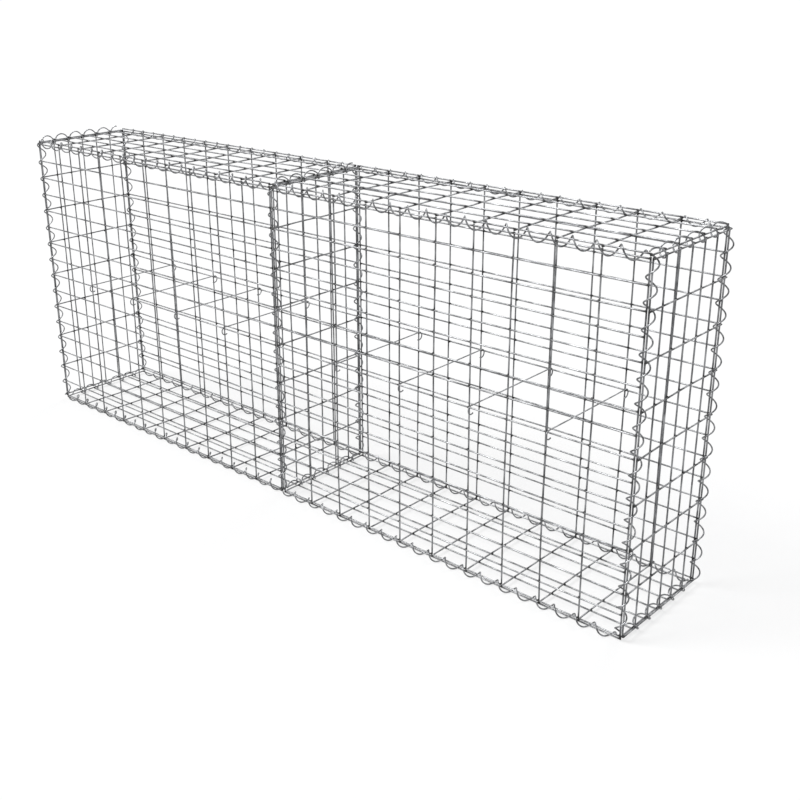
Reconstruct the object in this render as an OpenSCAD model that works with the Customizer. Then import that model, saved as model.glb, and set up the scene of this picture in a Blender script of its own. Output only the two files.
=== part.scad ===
// Gabion wall basket: a wire box of welded mesh in two bays, laced at every edge with
// spiral coils and braced from front to back with hooked ties.
// +X runs along the wall, +Y towards its back, +Z up. The origin is at the middle of the
// base, on the plane that the lowest coils rest on.

/* [Basket] */
// Length of one bay, from end wire to end wire
bay_length = 1000; // [500:50:1500]
// Depth of the basket, from front wires to back wires
basket_depth = 300; // [200:50:500]
// Height of the basket, from bottom wires to top wires
basket_height = 800; // [500:50:1000]

/* [Mesh] */
// Wire of the mesh panels
mesh_wire_d = 4; // [3:0.1:5]
// Mesh opening along the wall, and up the end panels
wide_mesh = 100; // [50:10:150]
// Mesh opening up the front and back, and across the depth
narrow_mesh = 50; // [50:10:100]
// How far crossing wires are pressed into each other at a weld
weld_sink = 0.6; // [0.3:0.1:1]

/* [Coils] */
// Wire of the joining coils
coil_wire_d = 3; // [2:0.1:4]
// Radius of a coil, to the middle of its wire
coil_radius = 12.5; // [12:0.5:16]

/* [Ties] */
// Wire of the ties
tie_wire_d = 3; // [2:0.1:4]
// Radius of a tie's end hook, to the middle of its wire
tie_hook_radius = 7; // [6.5:0.5:10]
// Share of a full circle that a hook is bent through
tie_hook_bend = 300; // [180:10:320]
// Mesh row, counted from the bottom, that the ties hook over
tie_row = 8; // [2:1:8]

/* [Hidden] */

// Gap left between wires that lie side by side
seat_gap = 0.2;
// Distance between the two layers of wires in one panel
layer = mesh_wire_d - weld_sink;
// Flat sides round a mesh wire, and round one turn of a coil
wire_sides = 6;
coil_sides = 8;
// Width of a mesh wire over its edges, in the plane of its panel
wire_wide = mesh_wire_d / cos(180 / wire_sides);
// Distance between the middles of two wires lying side by side
lap = wire_wide + seat_gap;

// Narrow meshes in a wide one, and so the turns that a coil makes along it
wide_turns = round(wide_mesh / narrow_mesh);
// Meshes of a panel along the wall, up an end, up the front and across the depth
bay_meshes = round(bay_length / wide_mesh);
end_row_meshes = round(basket_height / wide_mesh);
row_meshes = end_row_meshes * wide_turns;
depth_meshes = round(basket_depth / narrow_mesh);
// Rise of a coil in one turn, so that it passes every mesh wire at the same angle
pitch_along = bay_length / bay_meshes / wide_turns;
pitch_across = basket_depth / depth_meshes;
pitch_up = basket_height / row_meshes;

// Lowest mesh row: above the coil wire that passes under the base's two layers
base_z = coil_wire_d + seat_gap + mesh_wire_d / 2 + layer + lap;
top_z = base_z + basket_height;
// Both layers of the base and lid: the long wires lie outside the cross wires
base_cross_z = base_z - lap;
base_long_z = base_cross_z - layer;
lid_cross_z = top_z + lap;
lid_long_z = lid_cross_z + layer;

// Upright and level wires of the front and back
side_y = basket_depth / 2;
side_row_y = side_y + layer;
// The divider's uprights and level wires, with the bays' edge wires beside them
level_x = layer / 2;
edge_x = level_x + lap;
far_x = edge_x + bay_length;
end_x = far_x + lap;
end_row_x = end_x + layer;

// Outer and inner size of a coil, and how far its middle hangs from a wire inside it
coil_outer = coil_radius + coil_wire_d / 2;
coil_hang = coil_radius - coil_wire_d / 2 - wire_wide / 2 - seat_gap;
// Places where the coils end, clear of the coils they meet
corner_gap = 1;
coil_start_z = 2 * coil_outer + corner_gap;
coil_stop_z = top_z - coil_outer - corner_gap;
cross_coil_short = 10;
coil_stop_y = side_y - cross_coil_short;

// Middles of the coils: of those along X as [y, z], along Y as [x, z], upright as [x, y]
front_top = hung([-side_y, lid_long_z], 228);
back_top = hung([side_y, lid_long_z], 240);
front_base = [-side_y, coil_outer];
back_base = [side_y, coil_outer];
left_top = hung([-end_row_x, top_z], 60);
right_top = hung([end_row_x, top_z], 120);
divider_top = hung([level_x, top_z], 100);
left_base = [-grounded([end_row_x, base_z])[0], coil_outer];
right_base = grounded([end_row_x, base_z]);
divider_base = grounded([edge_x, base_cross_z]);
front_left = hung([-end_x, -side_y], 0);
front_right = hung([far_x, -side_y], 30);
back_left = hung([-end_x, side_y], 0);
back_right = hung([far_x, side_y], 0);
front_middle = hung([-edge_x, -side_y], 20);
back_middle = hung([edge_x, side_y], 180);

// The angle at which each coil passes a mesh wire
front_top_turn = 135;
back_top_turn = 343;
front_base_turn = 180;
back_base_turn = 4;
front_left_turn = 240;
front_middle_turn = 20;
front_right_turn = 130;
back_left_turn = 255;
back_middle_turn = 250;
back_right_turn = 230;
left_top_turn = 340;
right_top_turn = 94;
divider_top_turn = 350;
left_base_turn = 85;
right_base_turn = 95;
divider_base_turn = 65;

// Ties in one bay, and the sides that stand for a round tie wire and its bend
bay_ties = 4;
tie_sides = 24;
// Stubs of wire at a coil's cut ends
stub_d = coil_wire_d * 0.8;
stub_length = 0.5;

mesh_colour = "DimGray";
coil_colour = "LightSlateGray";
tie_colour = "SlateGray";

// A straight mesh wire along Z
module wire(length) {
    cylinder(d = wire_wide, h = length, $fn = wire_sides);
}

// A welded panel in the XY plane, with wires along X at z = 0 and along Y one layer up.
// Its first crossing is at the origin; each wire is trimmed flush with the edge wires.
module mesh_panel(columns, width, rows, height) {
    trim = mesh_wire_d / 2;
    flat = 180 / wire_sides;
    color(mesh_colour)
    union() {
        for (row = [0:rows])
            translate([-trim, row * height / rows, 0])
            rotate([0, 90, 0]) rotate(flat) wire(width + 2 * trim);
        for (column = [0:columns])
            translate([column * width / columns, -trim, layer])
            rotate([-90, 0, 0]) rotate(90 + flat) wire(height + 2 * trim);
    }
}

// Front or back mesh of one bay: level wires outside, uprights inside
module side_panel(first_x, back) {
    mirror([0, back ? 1 : 0, 0])
    translate([first_x, -side_row_y, base_z])
    rotate([90, 0, 0]) mirror([0, 0, 1])
    mesh_panel(bay_meshes, bay_length, row_meshes, basket_height);
}

// Lid or base mesh of one bay: long wires outside, cross wires inside
module flat_panel(first_x, long_z, lid) {
    translate([first_x, -side_y, long_z])
    mirror([0, 0, lid ? 1 : 0])
    mesh_panel(bay_meshes, bay_length, depth_meshes, basket_depth);
}

// End or divider mesh: level wires at x = 0, uprights one layer towards -X
module cross_panel() {
    translate([0, -side_y, base_z])
    mirror([1, 0, 0]) rotate(120, [1, 1, 1])
    mesh_panel(depth_meshes, basket_depth, end_row_meshes, basket_height);
}

// Middle of a coil that hangs from a wire, at an angle from it
function hung(wire_at, angle) = wire_at + coil_hang * [cos(angle), sin(angle)];

// Middle of a coil that rests on the ground and hangs from a wire on its +X side
function grounded(wire_at) =
    let (drop = wire_at[1] - coil_outer)
    [wire_at[0] - sqrt(pow(coil_hang, 2) - pow(drop, 2)), coil_outer];

// Corners of the coil's square wire at an angle of its turn: inner low, outer low, outer high, inner high
function coil_corners(angle, z, pitch) =
    let (half = coil_wire_d / 2)
    let (along = half / cos(atan(pitch / (2 * PI * coil_radius))))
    [for (c = [[-half, -along], [half, -along], [half, along], [-half, along]])
        let (r = (coil_radius + c[0]) / cos(180 / coil_sides))
        [r * cos(angle), r * sin(angle), z + c[1]]];

// A right-handed coil about Z between two heights. It passes a mesh wire at the height
// wire_at at wire_angle, and has a flat side at every step of its turn.
module coil(first, last, pitch, wire_at, wire_angle) {
    step = 360 / coil_sides;
    lead = wire_at - wire_angle / 360 * pitch;
    start = ceil((first + coil_wire_d - lead) / pitch * coil_sides - 0.5);
    stop = floor((last - coil_wire_d - lead) / pitch * coil_sides - 0.5);
    rings = [for (n = [start:stop])
        coil_corners((n + 0.5) * step, lead + (n + 0.5) * pitch / coil_sides, pitch)];
    points = [for (ring = rings) each ring];
    far_end = len(points) - 4;
    sides = [for (n = [0:4:far_end - 4], k = [0:3])
        let (a = n + k, b = n + (k + 1) % 4)
        each [[a, b, b + 4], [a, b + 4, a + 4]]];
    ends = [[3, 2, 1, 0], [for (k = [0:3]) far_end + k]];
    color(coil_colour)
    union() {
        polyhedron(points, concat(sides, ends), convexity = 8);
        for (tail = [0, far_end])
            translate((points[tail] + points[tail + 2]) / 2)
            cylinder(d = stub_d, h = stub_length, center = true, $fn = wire_sides);
    }
}

// A coil along X for the bay from first_x, with angles from +Y towards +Z
module coil_along_x(at, first_x, wire_angle) {
    translate([0, at[0], at[1]]) rotate(120, [1, 1, 1])
    coil(first_x, first_x + bay_length, pitch_along, first_x, wire_angle);
}

// A coil along Y, with angles from +Z towards +X
module coil_along_y(at, wire_angle) {
    translate([at[0], 0, at[1]]) rotate(240, [1, 1, 1])
    coil(-coil_stop_y, coil_stop_y, pitch_across, -side_y, wire_angle);
}

// An upright coil, with angles from +X towards +Y
module coil_upright(at, wire_angle) {
    translate([at[0], at[1], 0])
    coil(coil_start_z, coil_stop_z, pitch_up, base_z, wire_angle);
}

// A hook in the YZ plane, bent down and back from the end of the tie's rod at the origin
module tie_hook() {
    translate([0, 0, -tie_hook_radius])
    rotate(120, [1, 1, 1]) rotate(90)
    rotate_extrude(angle = tie_hook_bend, $fn = 2 * tie_sides)
    translate([tie_hook_radius, 0]) circle(d = tie_wire_d, $fn = tie_sides);
}

// One of a bay's ties, from front to back over the level wires and beside an upright
module tie(first_x, number) {
    column = round(number * bay_meshes / (bay_ties + 1));
    beside = (wire_wide + tie_wire_d) / 2 + seat_gap;
    tie_x = first_x + column * bay_length / bay_meshes + beside;
    tie_z = base_z + tie_row * pitch_up + beside;
    color(tie_colour)
    translate([tie_x, 0, tie_z])
    union() {
        translate([0, -side_row_y, 0]) rotate([-90, 0, 0])
        cylinder(d = tie_wire_d, h = 2 * side_row_y, $fn = tie_sides);
        for (turned = [0, 1])
            mirror([0, turned, 0]) translate([0, -side_row_y, 0]) tie_hook();
    }
}

side_panel(-far_x, false);  // front_left_panel
side_panel(edge_x, false);  // front_right_panel
side_panel(-far_x, true);  // back_left_panel
side_panel(edge_x, true);  // back_right_panel
flat_panel(-far_x, lid_long_z, true);  // lid_left_panel
flat_panel(edge_x, lid_long_z, true);  // lid_right_panel
flat_panel(-far_x, base_long_z, false);  // base_left_panel
flat_panel(edge_x, base_long_z, false);  // base_right_panel
mirror([1, 0, 0]) translate([end_row_x, 0, 0]) cross_panel();  // left_end_panel
translate([end_row_x, 0, 0]) cross_panel();  // right_end_panel
translate([level_x, 0, 0]) cross_panel();  // divider_panel
coil_along_x(front_top, -far_x, front_top_turn);  // front_left_top_coil
coil_along_x(front_top, edge_x, front_top_turn);  // front_right_top_coil
coil_along_x(back_top, -far_x, back_top_turn);  // back_left_top_coil
coil_along_x(back_top, edge_x, back_top_turn);  // back_right_top_coil
coil_along_x(front_base, -far_x, front_base_turn);  // front_left_base_coil
coil_along_x(front_base, edge_x, front_base_turn);  // front_right_base_coil
coil_along_x(back_base, -far_x, back_base_turn);  // back_left_base_coil
coil_along_x(back_base, edge_x, back_base_turn);  // back_right_base_coil
coil_upright(front_left, front_left_turn);  // front_left_corner_coil
coil_upright(front_right, front_right_turn);  // front_right_corner_coil
coil_upright(back_left, back_left_turn);  // back_left_corner_coil
coil_upright(back_right, back_right_turn);  // back_right_corner_coil
coil_upright(front_middle, front_middle_turn);  // front_middle_coil
coil_upright(back_middle, back_middle_turn);  // back_middle_coil
coil_along_y(left_top, left_top_turn);  // left_end_top_coil
coil_along_y(right_top, right_top_turn);  // right_end_top_coil
coil_along_y(divider_top, divider_top_turn);  // divider_top_coil
coil_along_y(left_base, left_base_turn);  // left_end_base_coil
coil_along_y(right_base, right_base_turn);  // right_end_base_coil
coil_along_y(divider_base, divider_base_turn);  // divider_base_coil
tie(-far_x, 1);  // left_bay_tie_1
tie(-far_x, 2);  // left_bay_tie_2
tie(-far_x, 3);  // left_bay_tie_3
tie(-far_x, 4);  // left_bay_tie_4
tie(edge_x, 1);  // right_bay_tie_1
tie(edge_x, 2);  // right_bay_tie_2
tie(edge_x, 3);  // right_bay_tie_3
tie(edge_x, 4);  // right_bay_tie_4
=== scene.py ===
import math
import random

import bpy
import numpy as np
from mathutils import Matrix, Vector


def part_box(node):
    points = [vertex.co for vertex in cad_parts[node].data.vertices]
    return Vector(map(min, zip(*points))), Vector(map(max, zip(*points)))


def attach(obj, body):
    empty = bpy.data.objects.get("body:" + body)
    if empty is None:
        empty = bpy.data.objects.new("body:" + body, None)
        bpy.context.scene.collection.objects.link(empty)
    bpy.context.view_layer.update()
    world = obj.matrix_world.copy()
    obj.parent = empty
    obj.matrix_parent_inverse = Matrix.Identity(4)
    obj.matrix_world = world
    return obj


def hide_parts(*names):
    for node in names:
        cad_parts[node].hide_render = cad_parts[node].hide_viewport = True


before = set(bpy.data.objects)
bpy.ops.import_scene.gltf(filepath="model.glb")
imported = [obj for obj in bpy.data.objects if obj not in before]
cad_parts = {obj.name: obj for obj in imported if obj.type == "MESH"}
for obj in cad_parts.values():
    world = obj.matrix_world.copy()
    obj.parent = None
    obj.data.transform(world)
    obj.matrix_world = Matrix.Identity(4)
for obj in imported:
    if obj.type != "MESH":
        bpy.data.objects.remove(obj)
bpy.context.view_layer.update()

# Sizes of the wire goods, in metres
MESH_WIRE = 0.0037
COIL_WIRE = 0.0034
TIE_WIRE = 0.003
COIL_RADIUS = 0.0125
HOOK_RADIUS = 0.0100
# How far round a tie's hook is bent, in degrees
HOOK_BEND = 215
WIDE_MESH = 0.100
NARROW_MESH = 0.050
# How far crossing wires are pressed into each other at a weld
WELD_SINK = 0.0006
# Half the width, over its corners, of a six-sided wire of the frame
FRAME_HALF_WIRE = 0.002 / math.cos(math.pi / 6)

# Sides round each kind of wire, and rings in one turn of a coil, in a tie's hook and along its rod
MESH_SIDES = 10
COIL_SIDES = 10
TIE_SIDES = 12
TURN_RINGS = 28
HOOK_RINGS = 26
ROD_RINGS = 25
# How much of a wire's radius its cut ends are bevelled by
CUT_BEVEL = 0.2
# Angle in degrees past which an edge is drawn sharp
SHARP_EDGE = 48

# Spot welds: how far their heat reaches, half their bead's width and height in wires, and the share
# by which it is wider towards the corners of the crossing
WELD_REACH = 0.0055
BEAD_WIDTH = (0.74, 0.88)
BEAD_HEIGHT = 0.30
BEAD_LOBES = 0.14
# How far mesh wires run past their last weld, in wires
OVERHANG = (0.45, 0.62)

# How far at most a panel's face bows and ripples, and about how far its inner rows, inner columns and
# edge wires wander
PANEL_BOW = 0.0034
PANEL_RIPPLE = 0.0014
ROW_DRIFT = 0.0011
COLUMN_DRIFT = 0.0014
EDGE_DRIFT = 0.0002

# About how far a coil's turns slide along it and sway across it, the shares by which its size swells
# and its tails close in, and how much of a turn a tail takes
COIL_SLIDE = 0.0012
COIL_SWAY = 0.0005
COIL_SWELL = 0.035
TAIL_CLOSES = 0.24
TAIL_TURN = 0.5

# How far at most a tie's rod sags and leans, and the share by which its hooks open up at their ends
TIE_SAG = 0.0012
TIE_LEAN = 0.0010
HOOK_OPENS = 0.10

X, Y, Z = np.eye(3)


# Each coil: the angle in degrees at which it passes a mesh wire, or that at its beginning and end,
# its two radii, how far its middle lies from the frame's, how far its ends run past the frame's, and
# how far its beginning is pulled aside. Along X the directions are Y and Z, upright they are X and Y,
# and along Y they are Z and X.
ROUND = (COIL_RADIUS, COIL_RADIUS)
FLATTER = (0.0095, COIL_RADIUS)
SMALLER = (0.0095, 0.0088)
CLOSER = (0.0100, 0.0110)
CENTRED = (0.0, 0.0)
RAISED = (0.0, 0.0024)
FLUSH = (0.0, 0.0)
TO_CORNERS = (0.022, 0.030)
PAST_FRONT = (0.015, 0.0)
COILS_ALONG = {
    "front_left_top": (281, FLATTER, RAISED, FLUSH, 0.0),
    "front_right_top": ((295, 137), FLATTER, RAISED, FLUSH, 0.0),
    "back_left_top": (28, SMALLER, RAISED, FLUSH, 0.0),
    "back_right_top": (13, SMALLER, RAISED, FLUSH, 0.0),
    "front_left_base": (14, (0.0100, 0.0119), (-0.002, 0.0005), FLUSH, 0.0),
    "front_right_base": (126, (0.0100, 0.0092), (-0.0065, -0.0026), FLUSH, 0.0),
    "back_left_base": (4, (0.0095, 0.0095), (-0.003, -0.0030), FLUSH, 0.0),
    "back_right_base": (4, (0.0095, 0.0095), (-0.003, -0.0030), FLUSH, 0.0),
}
UPRIGHT_COILS = {
    "front_left_corner": (262, CLOSER, CENTRED, TO_CORNERS, 0.0065),
    "front_middle": (350, CLOSER, (-0.0025, 0.0), TO_CORNERS, 0.004),
    "front_right_corner": (105, (0.0112, 0.0112), (-0.0030, -0.0020), TO_CORNERS, 0.007),
    "back_left_corner": (235, CLOSER, CENTRED, TO_CORNERS, 0.0065),
    "back_middle": (268, CLOSER, CENTRED, TO_CORNERS, 0.003),
    "back_right_corner": (250, (0.0110, 0.0112), (-0.0045, 0.0), TO_CORNERS, -0.0045),
}
CROSS_COILS = {
    "left_end_top": (150, (0.0120, 0.0125), (0.001, 0.0), FLUSH, 0.0),
    "right_end_top": (282, ROUND, CENTRED, PAST_FRONT, 0.0),
    "divider_top": (110, (0.0115, 0.0120), CENTRED, FLUSH, 0.0),
    "left_end_base": (85, CLOSER, (-0.0025, 0.0), FLUSH, 0.0),
    "right_end_base": (88, (0.0110, 0.0115), (-0.0015, 0.0), FLUSH, 0.0),
    "divider_base": (65, CLOSER, (-0.0025, 0.0), FLUSH, 0.0),
}


# ---------------------------------------------------------------- wire shapes

def unit(rows):
    """Each row at length 1."""
    return rows / np.linalg.norm(rows, axis=1, keepdims=True)


def tube(path, lean, radius, burn=None, sides=MESH_SIDES):
    """A round wire along a path, with cut ends.

    lean is a direction across the wire at each point, and burn how much weld heat marks it there.
    """
    path = np.asarray(path, float)
    along = unit(np.gradient(path, axis=0))
    lean = np.broadcast_to(np.asarray(lean, float), path.shape)
    lean = unit(lean - along * np.sum(lean * along, axis=1, keepdims=True))
    across = np.cross(along, lean)
    burn = np.zeros(len(path)) if burn is None else np.asarray(burn, float)
    # A short bevelled ring rounds each cut end off
    chamfer = CUT_BEVEL * radius
    first = path[0] - along[0] * chamfer
    last = path[-1] + along[-1] * chamfer
    path = np.vstack([first, path, last])
    lean = np.vstack([lean[:1], lean, lean[-1:]])
    across = np.vstack([across[:1], across, across[-1:]])
    burn = np.concatenate([burn[:1], burn, burn[-1:]])
    thick = np.full(len(path), radius)
    thick[[0, -1]] = (1 - CUT_BEVEL) * radius
    turn = np.arange(sides) * 2 * math.pi / sides
    ring = np.cos(turn)[None, :, None] * lean[:, None] + np.sin(turn)[None, :, None] * across[:, None]
    points = (path[:, None] + thick[:, None, None] * ring).reshape(-1, 3)
    faces = []
    for row in range(len(path) - 1):
        low, high = row * sides, (row + 1) * sides
        for k in range(sides):
            after = (k + 1) % sides
            faces.append((low + k, low + after, high + after, high + k))
    faces.append(tuple(range(sides - 1, -1, -1)))
    top = (len(path) - 1) * sides
    faces.append(tuple(range(top, top + sides)))
    return points, faces, np.repeat(burn, sides)


def nugget(middle, along, across, rng):
    """The flat bead of metal that a spot weld squeezes out between two crossing wires."""
    rings, sides = 4, 10
    normal = np.cross(along, across)
    wide = MESH_WIRE * rng.uniform(*BEAD_WIDTH)
    high = MESH_WIRE * BEAD_HEIGHT
    points = [middle - normal * high]
    for row in range(1, rings):
        tilt = math.pi * row / rings
        for k in range(sides):
            turn = 2 * math.pi * k / sides
            # squeezed out further into the four corners of the crossing
            reach = wide * (1 + BEAD_LOBES * math.cos(4 * turn + math.pi)) * math.sin(tilt)
            points.append(middle + reach * (math.cos(turn) * along + math.sin(turn) * across)
                          - normal * high * math.cos(tilt))
    points.append(middle + normal * high)
    faces = [(0, 1 + (k + 1) % sides, 1 + k) for k in range(sides)]
    for row in range(rings - 2):
        low, high_row = 1 + row * sides, 1 + (row + 1) * sides
        for k in range(sides):
            after = (k + 1) % sides
            faces.append((low + k, low + after, high_row + after, high_row + k))
    last = len(points) - 1
    top = 1 + (rings - 2) * sides
    faces += [(last, top + k, top + (k + 1) % sides) for k in range(sides)]
    return np.array(points), faces, np.ones(len(points))


def joined(node, parts, material):
    """One piece made of several closed shapes, in place of the node of that name."""
    points, faces, burns, start = [], [], [], 0
    for shape_points, shape_faces, shape_burn in parts:
        points.append(shape_points)
        faces += [tuple(start + k for k in face) for face in shape_faces]
        burns.append(shape_burn)
        start += len(shape_points)
    mesh = bpy.data.meshes.new(node)
    mesh.from_pydata(np.vstack(points).tolist(), [], faces)
    mesh.update()
    mesh.shade_smooth()
    mesh.set_sharp_from_angle(angle=math.radians(SHARP_EDGE))
    heat = mesh.attributes.new("weld_heat", "FLOAT", "POINT")
    heat.data.foreach_set("value", np.concatenate(burns).astype(np.float32))
    mesh.materials.append(material)
    piece = bpy.data.objects.new(node, mesh)
    bpy.context.scene.collection.objects.link(piece)
    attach(piece, "root")
    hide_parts(node)
    return piece


# ---------------------------------------------------------------- mesh panels

def stations(length, crossings, overhang):
    """Places for rings along a wire: close together at each weld, and one between welds."""
    near = (-WELD_REACH, -0.003, 0.0, 0.003, WELD_REACH)
    places = {-overhang, length + overhang}
    for at in crossings:
        places |= {at + step for step in near if -overhang < at + step < length + overhang}
    for first, second in zip(crossings, crossings[1:]):
        places |= {(first + second) / 2}
    return np.array(sorted(places))


def weld_heat(places, crossings):
    """How close each place is to a weld, from 0 to 1."""
    gap = np.abs(places[:, None] - np.asarray(crossings)[None, :]).min(axis=1)
    return np.exp(-((gap / WELD_REACH) ** 2))


def wander(places, length, reach, rng):
    """A slow, slight bend of one wire, which is nothing at its ends."""
    share = np.clip(places / length, 0, 1)
    bend = sum(rng.uniform(-1, 1) / n * np.sin(math.pi * n * share) for n in (1, 2, 3, 4))
    return reach * bend


def panel(node, corner, run, rise, columns, rows, material, seed, rows_outside):
    """A welded mesh panel.

    corner is the middle of the first crossing; run and rise are the panel's sides as vectors. Its
    rows lie along run and its columns along rise, on the side that rows_outside points away from.
    """
    rng = random.Random(seed)
    width, height = np.linalg.norm(run), np.linalg.norm(rise)
    along, up = run / width, rise / height
    layer = MESH_WIRE - WELD_SINK
    row_at = [height * k / rows for k in range(rows + 1)]
    column_at = [width * k / columns for k in range(columns + 1)]
    bow = PANEL_BOW * rng.uniform(-1, 1)
    ripple = PANEL_RIPPLE * rng.uniform(-1, 1)

    def bulge(s, t):
        """How far the panel's face stands out of true, nothing at its edges."""
        across, tall = np.clip(s / width, 0, 1), np.clip(t / height, 0, 1)
        whole = np.sin(math.pi * across) * np.sin(math.pi * tall)
        return bow * whole + ripple * np.sin(3 * math.pi * across) * np.sin(2 * math.pi * tall)

    parts = []
    for n, at in enumerate(row_at):
        places = stations(width, column_at, MESH_WIRE * rng.uniform(*OVERHANG))
        inner = 0 < n < rows
        drift = wander(places, width, ROW_DRIFT if inner else EDGE_DRIFT, rng)
        height_here = at + drift
        out = bulge(places, height_here)
        path = (corner + places[:, None] * along + height_here[:, None] * up
                + out[:, None] * rows_outside)
        parts.append(tube(path, rows_outside, MESH_WIRE / 2, weld_heat(places, column_at)))
    for n, at in enumerate(column_at):
        places = stations(height, row_at, MESH_WIRE * rng.uniform(*OVERHANG))
        inner = 0 < n < columns
        drift = wander(places, height, COLUMN_DRIFT if inner else EDGE_DRIFT, rng)
        across_here = at + drift
        out = bulge(across_here, places) - layer
        path = (corner + across_here[:, None] * along + places[:, None] * up
                + out[:, None] * rows_outside)
        parts.append(tube(path, rows_outside, MESH_WIRE / 2, weld_heat(places, row_at)))
        for t in row_at:
            middle = corner + at * along + t * up + (bulge(at, t) - layer / 2) * rows_outside
            parts.append(nugget(middle, along, up, rng))
    return joined(node, parts, material)


def meshes_in(length, size):
    """How many whole openings of about this size a side holds."""
    return round(length / size)


def side_panel(node, outward, material, seed):
    """Front or back of a bay: level wires outside, uprights inside."""
    low, high = map(np.array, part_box(node))
    across = high[0] - low[0] - 2 * FRAME_HALF_WIRE
    tall = high[2] - low[2] - 2 * FRAME_HALF_WIRE
    face = low[1] + MESH_WIRE / 2 if outward < 0 else high[1] - MESH_WIRE / 2
    corner = np.array([low[0] + FRAME_HALF_WIRE, face, low[2] + FRAME_HALF_WIRE])
    return panel(node, corner, across * X, tall * Z, meshes_in(across, WIDE_MESH),
                 meshes_in(tall, NARROW_MESH), material, seed, outward * Y)


def flat_panel(node, outward, material, seed):
    """Lid or base of a bay: long wires outside, cross wires inside."""
    low, high = map(np.array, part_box(node))
    across = high[0] - low[0] - 2 * FRAME_HALF_WIRE
    deep = high[1] - low[1] - 2 * FRAME_HALF_WIRE
    face = low[2] + MESH_WIRE / 2 if outward < 0 else high[2] - MESH_WIRE / 2
    corner = np.array([low[0] + FRAME_HALF_WIRE, low[1] + FRAME_HALF_WIRE, face])
    return panel(node, corner, across * X, deep * Y, meshes_in(across, WIDE_MESH),
                 meshes_in(deep, NARROW_MESH), material, seed, outward * Z)


def cross_panel(node, outward, material, seed):
    """An end or the divider: level wires outside, uprights inside."""
    low, high = map(np.array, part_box(node))
    deep = high[1] - low[1] - 2 * FRAME_HALF_WIRE
    tall = high[2] - low[2] - 2 * FRAME_HALF_WIRE
    face = low[0] + MESH_WIRE / 2 if outward < 0 else high[0] - MESH_WIRE / 2
    corner = np.array([face, low[1] + FRAME_HALF_WIRE, low[2] + FRAME_HALF_WIRE])
    return panel(node, corner, deep * Y, tall * Z, meshes_in(deep, NARROW_MESH),
                 meshes_in(tall, WIDE_MESH), material, seed, outward * X)


# ---------------------------------------------------------------- joining coils

def waver(share, counts, rng):
    """A slow, uneven swing between about -1 and 1 along something."""
    waves = [rng.uniform(0.4, 1) * np.sin(2 * math.pi * n * share + rng.uniform(0, 6.3)) for n in counts]
    return sum(waves) / math.sqrt(len(waves))


def coil(node, axis, first, second, wire_at, shape, material, seed):
    """A right-handed coil along an axis, bent in at both ends.

    first and second are the directions of its 0 and 90 degrees. shape holds the angle at which it
    passes a mesh wire, or that at its beginning and end, its radius in each direction, how far its
    middle lies from the frame's, how far its ends run past the frame's, and how far its beginning
    is pulled back along first.
    """
    wire_angles, radii, shift, overrun, pull = shape
    rng = random.Random(seed)
    low, high = map(np.array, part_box(node))
    middle = (low + high) / 2
    middle = middle - axis * (middle @ axis) + shift[0] * first + shift[1] * second
    begin, end = low @ axis - overrun[0], high @ axis + overrun[1]
    lead_at_begin, lead = np.radians(np.broadcast_to(wire_angles, 2))
    turn_at_begin = lead_at_begin + (begin + COIL_WIRE - wire_at) / NARROW_MESH * 2 * math.pi
    turn_at_end = lead + (end - COIL_WIRE - wire_at) / NARROW_MESH * 2 * math.pi
    steps = int(round((turn_at_end - turn_at_begin) / (2 * math.pi) * TURN_RINGS))
    turn = np.linspace(turn_at_begin, turn_at_end, steps + 1)
    share = (turn - turn_at_begin) / (turn_at_end - turn_at_begin)
    lead_here = lead + (lead_at_begin - lead) * (1 - share ** 1.5)
    height = wire_at + (turn - lead_here) / (2 * math.pi) * NARROW_MESH
    # wound by hand: the size breathes a little, and some turns lead or lag
    swell = waver(share, (2, 5, 9, 14), rng)
    slide = waver(share, (3, 7, 11), rng)
    sway = waver(share, (2, 3, 6), rng)
    height = height + COIL_SLIDE * slide
    # the last part of a turn is bent in round the corner
    tail = TAIL_TURN * TURN_RINGS
    count = np.arange(len(turn))
    closing = np.clip(1 - np.minimum(count, count[::-1]) / tail, 0, 1)
    size = (1 + COIL_SWELL * swell) * (1 - TAIL_CLOSES * closing ** 2)
    around = (radii[0] * size * np.cos(turn))[:, None] * first
    around = around + (radii[1] * size * np.sin(turn))[:, None] * second
    aside = COIL_SWAY * sway - pull * (1 - share) ** 1.5
    path = middle + around + height[:, None] * axis + aside[:, None] * first
    return joined(node, [tube(path, around, COIL_WIRE / 2, sides=COIL_SIDES)], material)


# ---------------------------------------------------------------- hooked ties

def tie(node, material, seed):
    """A rod from front to back, with its ends hooked down round the level wires."""
    rng = random.Random(seed)
    low, high = map(np.array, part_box(node))
    across = (low[0] + high[0]) / 2
    rod_z = high[2] - TIE_WIRE / 2
    bend = math.radians(HOOK_BEND)
    # the rod ends above the wires it hooks round; the hooks' loops reach past it
    half = (high[1] - low[1]) / 2 - TIE_WIRE / 2 - HOOK_RADIUS
    hook = []
    for k in range(1, HOOK_RINGS + 1):
        turn = bend * k / HOOK_RINGS
        open_up = 1 + HOOK_OPENS * (k / HOOK_RINGS) ** 2
        hook.append((math.sin(turn) * HOOK_RADIUS * open_up,
                     (math.cos(turn) * open_up - 1) * HOOK_RADIUS))
    sag = TIE_SAG * rng.uniform(0.3, 1.0)
    lean = TIE_LEAN * rng.uniform(-1, 1)
    rod = np.linspace(-half, half, ROD_RINGS)
    places = [(0.0, -half - s, rod_z + t) for s, t in reversed(hook)]
    places += [(lean * math.sin(math.pi * (y + half) / (2 * half)), y,
                rod_z - sag * math.cos(math.pi * y / (2 * half))) for y in rod]
    places += [(0.0, half + s, rod_z + t) for s, t in hook]
    path = np.array(places) + [across, 0, 0]
    return joined(node, [tube(path, X, TIE_WIRE / 2, sides=TIE_SIDES)], material)


# ---------------------------------------------------------------- finishes

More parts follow.
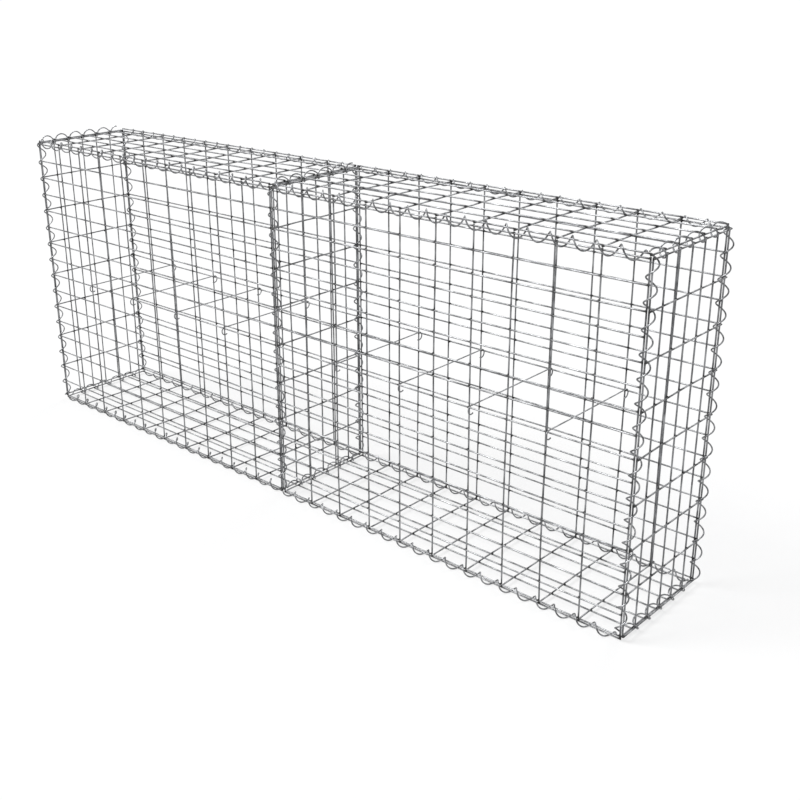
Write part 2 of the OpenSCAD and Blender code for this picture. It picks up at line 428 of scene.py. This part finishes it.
def group_tree(name, inputs, outputs):
    """An empty node group with named sockets, as (name, type, default) and (name, type)."""
    tree = bpy.data.node_groups.new(name, "ShaderNodeTree")
    for label, kind, value in inputs:
        socket = tree.interface.new_socket(name=label, in_out="INPUT", socket_type=kind)
        socket.default_value = value
    for label, kind in outputs:
        tree.interface.new_socket(name=label, in_out="OUTPUT", socket_type=kind)
    return tree, tree.nodes.new("NodeGroupInput"), tree.nodes.new("NodeGroupOutput")


def add(tree, kind, **settings):
    """A new node with its settings made."""
    node = tree.nodes.new(kind)
    for key, value in settings.items():
        setattr(node, key, value)
    return node


def feed(tree, value, socket):
    """Give a socket its value, which is another socket or a number."""
    if isinstance(value, bpy.types.NodeSocket):
        tree.links.new(value, socket)
    else:
        socket.default_value = value


def math_node(tree, operation, first, second):
    """A Math node of two values, each a socket or a number."""
    node = add(tree, "ShaderNodeMath", operation=operation)
    feed(tree, first, node.inputs[0])
    feed(tree, second, node.inputs[1])
    return node.outputs[0]


def noise(tree, where, scale, detail):
    """A noise of a given scale at some coordinates."""
    node = add(tree, "ShaderNodeTexNoise")
    node.inputs["Detail"].default_value = detail
    node.inputs["Roughness"].default_value = 0.6
    tree.links.new(where, node.inputs["Vector"])
    feed(tree, scale, node.inputs["Scale"])
    return node.outputs["Fac"]


def ranged(tree, value, low, high, to_low, to_high):
    """Value taken from one range to another, and held at its ends."""
    node = add(tree, "ShaderNodeMapRange")
    tree.links.new(value, node.inputs["Value"])
    for label, number in (("From Min", low), ("From Max", high), ("To Min", to_low), ("To Max", to_high)):
        node.inputs[label].default_value = number
    return node.outputs["Result"]


def mixed(tree, share, first, second):
    """Two colours mixed by a share from 0 to 1, all three from sockets."""
    node = add(tree, "ShaderNodeMix", data_type="RGBA")
    tree.links.new(share, node.inputs["Factor"])
    for label, colour in (("A", first), ("B", second)):
        socket = [s for s in node.inputs if s.name == label and s.type == "RGBA"][0]
        tree.links.new(colour, socket)
    return [s for s in node.outputs if s.type == "RGBA"][0]


def zinc_coat_group():
    """Zinc on wire: patches along the length, fine crystals, and the sheen that goes with them."""
    tree, given, out = group_tree(
        "Zinc coat",
        [("Light Zinc", "NodeSocketColor", (0.40, 0.41, 0.42, 1)),
         ("Dark Zinc", "NodeSocketColor", (0.14, 0.145, 0.15, 1)),
         ("Patch Scale", "NodeSocketFloat", 30.0),
         ("Crystal Scale", "NodeSocketFloat", 900.0)],
        [("Color", "NodeSocketColor"), ("Roughness", "NodeSocketFloat"), ("Coat Depth", "NodeSocketFloat")])
    where = add(tree, "ShaderNodeTexCoord").outputs["Object"]
    patches = noise(tree, where, given.outputs["Patch Scale"], 4.0)
    crystals = add(tree, "ShaderNodeTexVoronoi", feature="F1")
    tree.links.new(where, crystals.inputs["Vector"])
    tree.links.new(given.outputs["Crystal Scale"], crystals.inputs["Scale"])
    grain = noise(tree, where, given.outputs["Crystal Scale"], 2.0)
    tone = math_node(tree, "MULTIPLY", ranged(tree, patches, 0.36, 0.64, 0.0, 1.0), 0.8)
    facet = add(tree, "ShaderNodeSeparateColor")
    tree.links.new(crystals.outputs["Color"], facet.inputs["Color"])
    tone = math_node(tree, "ADD", tone, math_node(tree, "MULTIPLY", facet.outputs[0], 0.2))
    tree.links.new(mixed(tree, tone, given.outputs["Dark Zinc"], given.outputs["Light Zinc"]),
                   out.inputs["Color"])
    tree.links.new(ranged(tree, tone, 0.0, 1.0, 0.40, 0.29), out.inputs["Roughness"])
    depth = math_node(tree, "ADD", math_node(tree, "MULTIPLY", grain, 0.6),
                      math_node(tree, "MULTIPLY", crystals.outputs["Distance"], 0.4))
    tree.links.new(depth, out.inputs["Coat Depth"])
    return tree


def weld_mark_group():
    """The dark, matt ring that spot welding burns into zinc."""
    tree, given, out = group_tree(
        "Weld mark",
        [("Color", "NodeSocketColor", (0.3, 0.3, 0.3, 1)), ("Roughness", "NodeSocketFloat", 0.4),
         ("Burnt Zinc", "NodeSocketColor", (0.020, 0.0195, 0.019, 1)), ("Strength", "NodeSocketFloat", 0.8)],
        [("Color", "NodeSocketColor"), ("Roughness", "NodeSocketFloat"), ("Heat", "NodeSocketFloat")])
    heat = add(tree, "ShaderNodeAttribute", attribute_name="weld_heat", attribute_type="GEOMETRY")
    where = add(tree, "ShaderNodeTexCoord").outputs["Object"]
    ragged = ranged(tree, noise(tree, where, 420.0, 3.0), 0.3, 0.7, 0.75, 1.0)
    share = math_node(tree, "MULTIPLY", heat.outputs["Fac"], given.outputs["Strength"])
    share = math_node(tree, "MULTIPLY", share, ragged)
    tree.links.new(mixed(tree, share, given.outputs["Color"], given.outputs["Burnt Zinc"]),
                   out.inputs["Color"])
    rough = math_node(tree, "ADD", given.outputs["Roughness"], math_node(tree, "MULTIPLY", share, 0.35))
    tree.links.new(rough, out.inputs["Roughness"])
    tree.links.new(share, out.inputs["Heat"])
    return tree


def wire_finish(name, coat, weld, light, dark, metal, patch_scale, crystal_scale, burn):
    """Galvanised wire: a zinc coat, weld marks where there are any, and a fine bump."""
    material = bpy.data.materials.new(name)
    material.use_nodes = True
    tree = material.node_tree
    surface = tree.nodes["Principled BSDF"]
    surface.inputs["Metallic"].default_value = metal
    surface.inputs["IOR"].default_value = 1.6
    zinc = add(tree, "ShaderNodeGroup", node_tree=coat)
    zinc.inputs["Light Zinc"].default_value = (*light, 1)
    zinc.inputs["Dark Zinc"].default_value = (*dark, 1)
    zinc.inputs["Patch Scale"].default_value = patch_scale
    zinc.inputs["Crystal Scale"].default_value = crystal_scale
    mark = add(tree, "ShaderNodeGroup", node_tree=weld)
    mark.inputs["Strength"].default_value = burn
    tree.links.new(zinc.outputs["Color"], mark.inputs["Color"])
    tree.links.new(zinc.outputs["Roughness"], mark.inputs["Roughness"])
    tree.links.new(mark.outputs["Color"], surface.inputs["Base Color"])
    tree.links.new(mark.outputs["Roughness"], surface.inputs["Roughness"])
    bump = add(tree, "ShaderNodeBump")
    bump.inputs["Strength"].default_value = 0.25
    bump.inputs["Distance"].default_value = 0.00012
    tree.links.new(zinc.outputs["Coat Depth"], bump.inputs["Height"])
    tree.links.new(bump.outputs["Normal"], surface.inputs["Normal"])
    return material


# ---------------------------------------------------------------- the basket

def build_basket():
    """Every piece of the basket in place of its node."""
    coat, weld = zinc_coat_group(), weld_mark_group()
    mesh_finish = wire_finish("Mesh wire zinc", coat, weld, (0.37, 0.375, 0.385), (0.095, 0.097, 0.102),
                              0.9, 30.0, 700.0, 0.95)
    coil_finish = wire_finish("Coil wire zinc", coat, weld, (0.34, 0.345, 0.355), (0.05, 0.051, 0.054),
                              0.95, 75.0, 800.0, 0.0)
    tie_finish = wire_finish("Tie wire zinc", coat, weld, (0.30, 0.305, 0.315), (0.10, 0.102, 0.106),
                             0.8, 40.0, 1100.0, 0.0)

    seed = 100
    for bay in ("left", "right"):
        for node, outward in ((f"front_{bay}_panel", -1), (f"back_{bay}_panel", 1)):
            side_panel(node, outward, mesh_finish, seed)
            seed += 1
        for node, outward in ((f"lid_{bay}_panel", 1), (f"base_{bay}_panel", -1)):
            flat_panel(node, outward, mesh_finish, seed)
            seed += 1
    for node, outward in (("left_end_panel", -1), ("right_end_panel", 1), ("divider_panel", 1)):
        cross_panel(node, outward, mesh_finish, seed)
        seed += 1

    first_wire = {bay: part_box(f"front_{bay}_panel")[0] for bay in ("left", "right")}
    for place, shape in COILS_ALONG.items():
        wire_at = first_wire[place.split("_")[1]][0] + FRAME_HALF_WIRE
        coil(place + "_coil", X, Y, Z, wire_at, shape, coil_finish, seed)
        seed += 1
    for place, shape in UPRIGHT_COILS.items():
        wire_at = first_wire["left"][2] + FRAME_HALF_WIRE
        coil(place + "_coil", Z, X, Y, wire_at, shape, coil_finish, seed)
        seed += 1
    front_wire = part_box("base_left_panel")[0][1] + FRAME_HALF_WIRE
    for place, shape in CROSS_COILS.items():
        coil(place + "_coil", Y, Z, X, front_wire, shape, coil_finish, seed)
        seed += 1

    for bay in ("left", "right"):
        for number in range(1, 5):
            tie(f"{bay}_bay_tie_{number}", tie_finish, seed)
            seed += 1


# ---------------------------------------------------------------- floor, lamps and camera

def seen_or_mirrored(tree):
    """1 for a ray from the camera, or one seen in metal or glass; otherwise 0."""
    path = add(tree, "ShaderNodeLightPath")
    direct = math_node(tree, "MAXIMUM", path.outputs["Is Camera Ray"], path.outputs["Is Glossy Ray"])
    return math_node(tree, "MAXIMUM", direct, path.outputs["Is Transmission Ray"])


def build_floor():
    """A plain pale floor that takes the basket's shadow."""
    size = 60.0
    mesh = bpy.data.meshes.new("floor")
    half = size / 2
    mesh.from_pydata([(-half, -half, 0), (half, -half, 0), (half, half, 0), (-half, half, 0)], [],
                     [(0, 1, 2, 3)])
    floor = bpy.data.objects.new("floor", mesh)
    bpy.context.scene.collection.objects.link(floor)
    material = bpy.data.materials.new("Pale floor")
    material.use_nodes = True
    tree = material.node_tree
    tree.nodes.clear()
    plain = add(tree, "ShaderNodeBsdfDiffuse")
    plain.inputs["Color"].default_value = (0.94, 0.94, 0.94, 1)
    glow = add(tree, "ShaderNodeEmission")
    glow.inputs["Strength"].default_value = 1.0
    blend = add(tree, "ShaderNodeMixShader")
    out = add(tree, "ShaderNodeOutputMaterial")
    share = math_node(tree, "MULTIPLY", seen_or_mirrored(tree), 0.72)
    tree.links.new(share, blend.inputs["Fac"])
    tree.links.new(plain.outputs["BSDF"], blend.inputs[1])
    tree.links.new(glow.outputs["Emission"], blend.inputs[2])
    tree.links.new(blend.outputs["Shader"], out.inputs["Surface"])
    mesh.materials.append(material)


def build_world():
    """White where it is seen, and a soft grey where it only gives light."""
    world = bpy.data.worlds.new("Pale room")
    world.use_nodes = True
    tree = world.node_tree
    light = tree.nodes["Background"]
    light.inputs["Color"].default_value = (0.95, 0.97, 1.0, 1)
    light.inputs["Strength"].default_value = 0.30
    white = add(tree, "ShaderNodeBackground")
    white.inputs["Strength"].default_value = 1.0
    white.inputs["Color"].default_value = (1, 1, 1, 1)
    blend = add(tree, "ShaderNodeMixShader")
    tree.links.new(seen_or_mirrored(tree), blend.inputs["Fac"])
    tree.links.new(light.outputs["Background"], blend.inputs[1])
    tree.links.new(white.outputs["Background"], blend.inputs[2])
    tree.links.new(blend.outputs["Shader"], tree.nodes["World Output"].inputs["Surface"])
    bpy.context.scene.world = world


def soft_sun(name, towards, spread, strength):
    """A distant lamp as wide in the sky as spread, which shines from a direction."""
    data = bpy.data.lights.new(name, "SUN")
    data.angle = math.radians(spread)
    data.energy = strength
    lamp = bpy.data.objects.new(name, data)
    bpy.context.scene.collection.objects.link(lamp)
    lamp.rotation_euler = Vector(towards).to_track_quat("Z", "Y").to_euler()


def build_lamps():
    """A wide soft lamp from the upper left of the front, and a weaker one from behind."""
    soft_sun("left_lamp", (-0.51, -0.44, 0.74), 26, 2.9)
    soft_sun("back_lamp", (-0.10, 0.77, 0.63), 26, 0.9)


def build_camera():
    """The camera, to the right of the front and a little above the lid."""
    bearing, rise, roll = math.radians(43.73), math.radians(20.80), math.radians(-0.96)
    away = 2.883
    base_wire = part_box("front_left_panel")[0][2] + FRAME_HALF_WIRE
    target = Vector((0.1073, 0.0, 0.3144 + base_wire))
    back = Vector((math.sin(bearing) * math.cos(rise), -math.cos(bearing) * math.cos(rise), math.sin(rise)))
    right = Vector((math.cos(bearing), math.sin(bearing), 0))
    up = back.cross(right)
    turned_right = right * math.cos(roll) + up * math.sin(roll)
    turned_up = up * math.cos(roll) - right * math.sin(roll)
    axes = Matrix((turned_right, turned_up, back)).transposed().to_4x4()
    data = bpy.data.cameras.new("camera")
    data.sensor_width = 36
    data.lens = 50.54
    data.shift_x = 0.062
    data.shift_y = -0.036
    data.clip_end = 100
    camera = bpy.data.objects.new("camera", data)
    bpy.context.scene.collection.objects.link(camera)
    camera.matrix_world = Matrix.Translation(target + back * away) @ axes
    bpy.context.scene.camera = camera


build_camera()
build_basket()
build_floor()
build_world()
build_lamps()
bpy.context.scene.view_settings.view_transform = "Standard"

bpy.context.view_layer.update()
